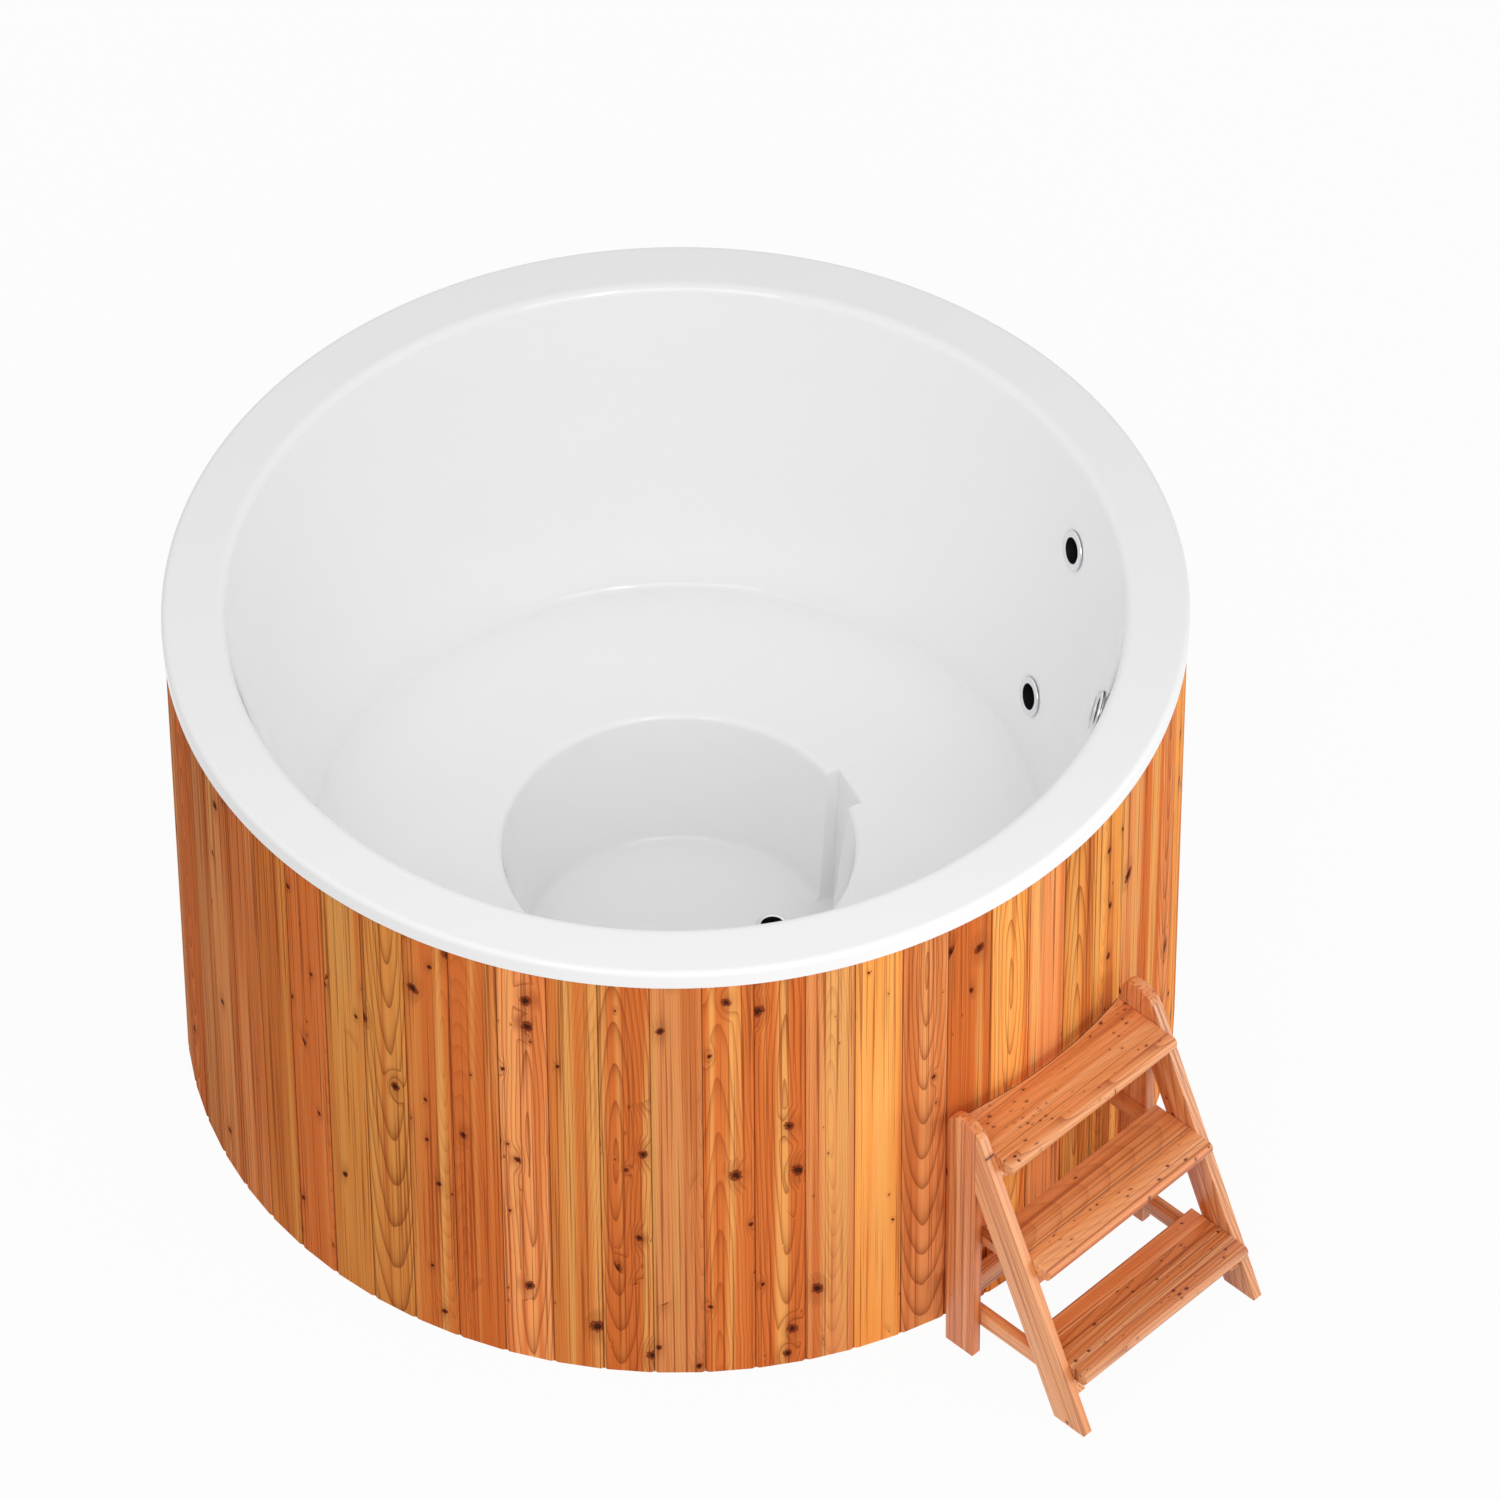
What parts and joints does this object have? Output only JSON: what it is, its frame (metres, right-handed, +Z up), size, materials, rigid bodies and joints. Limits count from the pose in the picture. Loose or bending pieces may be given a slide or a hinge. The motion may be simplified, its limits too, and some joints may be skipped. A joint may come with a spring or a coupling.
{
  "type": "cold plunge tub",
  "caption": "Round cold plunge tub: glossy moulded shell with bench, footwell and ports, upright wooden cladding, and a free-standing wooden ladder.",
  "frame": {"origin": "on the floor at the axis of the round tub", "axes": "+Z up; the ladder stands towards +X and -Y, the ports are in the wall on the +X side, the drain outlet leaves towards +Y"},
  "size_m": [1.9227, 2.0853, 1.032],
  "materials": {
    "shell_white": "high gloss",
    "foam": "matt foam",
    "plywood": "matt",
    "framing": "sawn",
    "board_wood": "oiled satin",
    "ladder_wood": "oiled satin",
    "port_metal": "polished",
    "gasket": "matt",
    "fitting": "satin",
    "pipe": "satin",
    "valve_seat": "satin",
    "valve_steel": "satin",
    "lever_red": "satin",
    "dowel_wood": "matt"
  },
  "bodies": {
    "tub": {"tub_shell": "shell_white", "wall_insulation": "foam", "well_insulation": "foam", "well_pad": "foam", "upper_hoop": "plywood", "middle_hoop": "plywood", "lower_hoop": "plywood", "frame_posts": "framing", "base_joists": "framing", "base_plate": "plywood", "bench_plate": "plywood", "bench_legs": "framing", "cladding_boards_1": "board_wood", "cladding_boards_2": "board_wood", "cladding_boards_3": "board_wood", "cladding_boards_4": "board_wood", "cladding_boards_5": "board_wood", "cladding_boards_6": "board_wood", "cladding_boards_7": "board_wood", "cladding_boards_8": "board_wood", "cladding_boards_9": "board_wood", "return_flange": "port_metal", "suction_flange": "port_metal", "overflow_flange": "port_metal", "port_gaskets": "gasket", "port_nuts": "fitting", "return_stub": "fitting", "suction_stub": "fitting", "overflow_elbow": "fitting", "overflow_pipe": "pipe", "drain_flange": "port_metal", "drain_gasket": "gasket", "drain_nut": "fitting", "drain_elbow": "fitting", "drain_pipe": "pipe", "valve_body": "fitting", "valve_seats": "valve_seat", "drain_outlet": "pipe"},
    "valve_handle": {"valve_ball": "valve_steel", "valve_stem": "valve_steel", "valve_lever": "lever_red"},
    "ladder": {"left_rear_leg": "ladder_wood", "right_rear_leg": "ladder_wood", "left_stringer": "ladder_wood", "right_stringer": "ladder_wood", "top_tread": "ladder_wood", "middle_tread": "ladder_wood", "bottom_tread": "ladder_wood", "left_top_cleat": "ladder_wood", "right_top_cleat": "ladder_wood", "left_middle_cleat": "ladder_wood", "right_middle_cleat": "ladder_wood", "left_bottom_cleat": "ladder_wood", "right_bottom_cleat": "ladder_wood", "rear_rail": "ladder_wood", "tread_dowels": "dowel_wood"}
  },
  "joints": [
    {"name": "valve_turn", "type": "hinge", "parent": "tub", "child": "valve_handle", "pos_m": [0.14062, 0.94048, 0.046], "axis": [0, 0, 1], "range_deg": [0, 90]},
    {"name": "ladder_pull", "type": "slide", "parent": "tub", "child": "ladder", "axis": [0.7071, -0.7071, 0], "range_m": [0, 0.4]}
  ]
}
